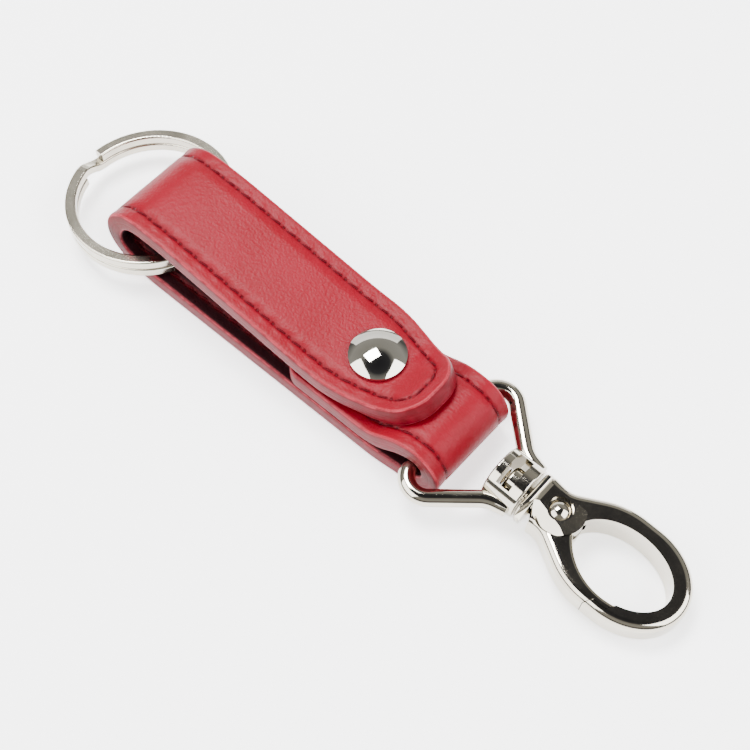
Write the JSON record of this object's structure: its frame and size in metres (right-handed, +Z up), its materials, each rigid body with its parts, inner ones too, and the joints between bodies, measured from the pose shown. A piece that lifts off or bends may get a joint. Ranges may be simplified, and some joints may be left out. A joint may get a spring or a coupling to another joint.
{
  "type": "valet keychain",
  "caption": "Folded leather strap with a snap flap holding a split ring at one end and a swivel snap hook at the other, for keys and a belt loop.",
  "frame": {"origin": "middle of the back panel's flat underside, halfway between the strap's two folds", "axes": "+X along the strap from the split ring to the snap hook, +Y across the strap, +Z up out of the snap's cap; the part lies on the plane Z = 0"},
  "size_m": [0.1302, 0.03, 0.0163],
  "materials": {
    "strap_leather": "smooth finished leather with painted edges",
    "strap_lining": "smooth lining leather",
    "thread": "waxed thread",
    "polished_nickel": "polished nickel plate",
    "nickel": "plain nickel plate",
    "ring_steel": "nickel plated steel with a satin flat face",
    "spring_steel": "spring wire"
  },
  "bodies": {
    "strap": {"back_leather": "strap_leather", "back_lining": "strap_lining", "back_stitching": "thread", "ring_fold_leather": "strap_leather", "ring_fold_lining": "strap_lining", "hook_fold_leather": "strap_leather", "hook_fold_lining": "strap_lining"},
    "flap": {"flap_leather": "strap_leather", "flap_lining": "strap_lining", "flap_stitching": "thread", "snap_cap": "polished_nickel", "snap_socket": "nickel"},
    "tongue": {"tongue_leather": "strap_leather", "tongue_lining": "strap_lining", "tongue_stitching": "thread", "snap_stud": "nickel", "snap_post": "nickel"},
    "split_ring": {"split_ring": "ring_steel"},
    "bail": {"bail": "polished_nickel"},
    "hook": {"hook_body": "polished_nickel", "swivel_post": "polished_nickel", "gate_rivet": "polished_nickel", "gate_spring": "spring_steel"},
    "gate": {"gate": "polished_nickel"}
  },
  "joints": [
    {"name": "flap_open", "type": "hinge", "parent": "strap", "child": "flap", "pos_m": [-0.03845, 0, 0.0093], "axis": [0, -1, 0], "range_deg": [0, 85], "deforming": ["ring_fold_leather", "ring_fold_lining"]},
    {"name": "tongue_lift", "type": "hinge", "parent": "strap", "child": "tongue", "pos_m": [0.02865, 0, 0.0058], "axis": [0, 1, 0], "range_deg": [0, 38], "deforming": ["hook_fold_leather", "hook_fold_lining"]},
    {"name": "ring_swing", "type": "hinge", "parent": "strap", "child": "split_ring", "pos_m": [-0.02675, 0.0003, 0.0068], "axis": [0, 1, 0], "range_deg": [0, 95]},
    {"name": "bail_swing", "type": "hinge", "parent": "strap", "child": "bail", "pos_m": [0.02865, 0, 0.0058], "axis": [0, -1, 0], "range_deg": [0, 76]},
    {"name": "hook_swivel", "type": "hinge", "parent": "bail", "child": "hook", "pos_m": [0.04462, 0, 0.0048], "axis": [0.998, 0, -0.0627], "continuous": true},
    {"name": "gate_open", "type": "hinge", "parent": "hook", "child": "gate", "pos_m": [0.05111, 0.00015, 0.00439], "axis": [0.0627, 0, 0.998], "range_deg": [0, 20], "stiffness_Nm_per_rad": 0.02, "springref_deg": -17.19, "deforming": ["gate_spring"]}
  ],
  "couplings": [
    {"joint": "tongue_lift", "follows": "flap_open", "ratio": 0.44}
  ]
}
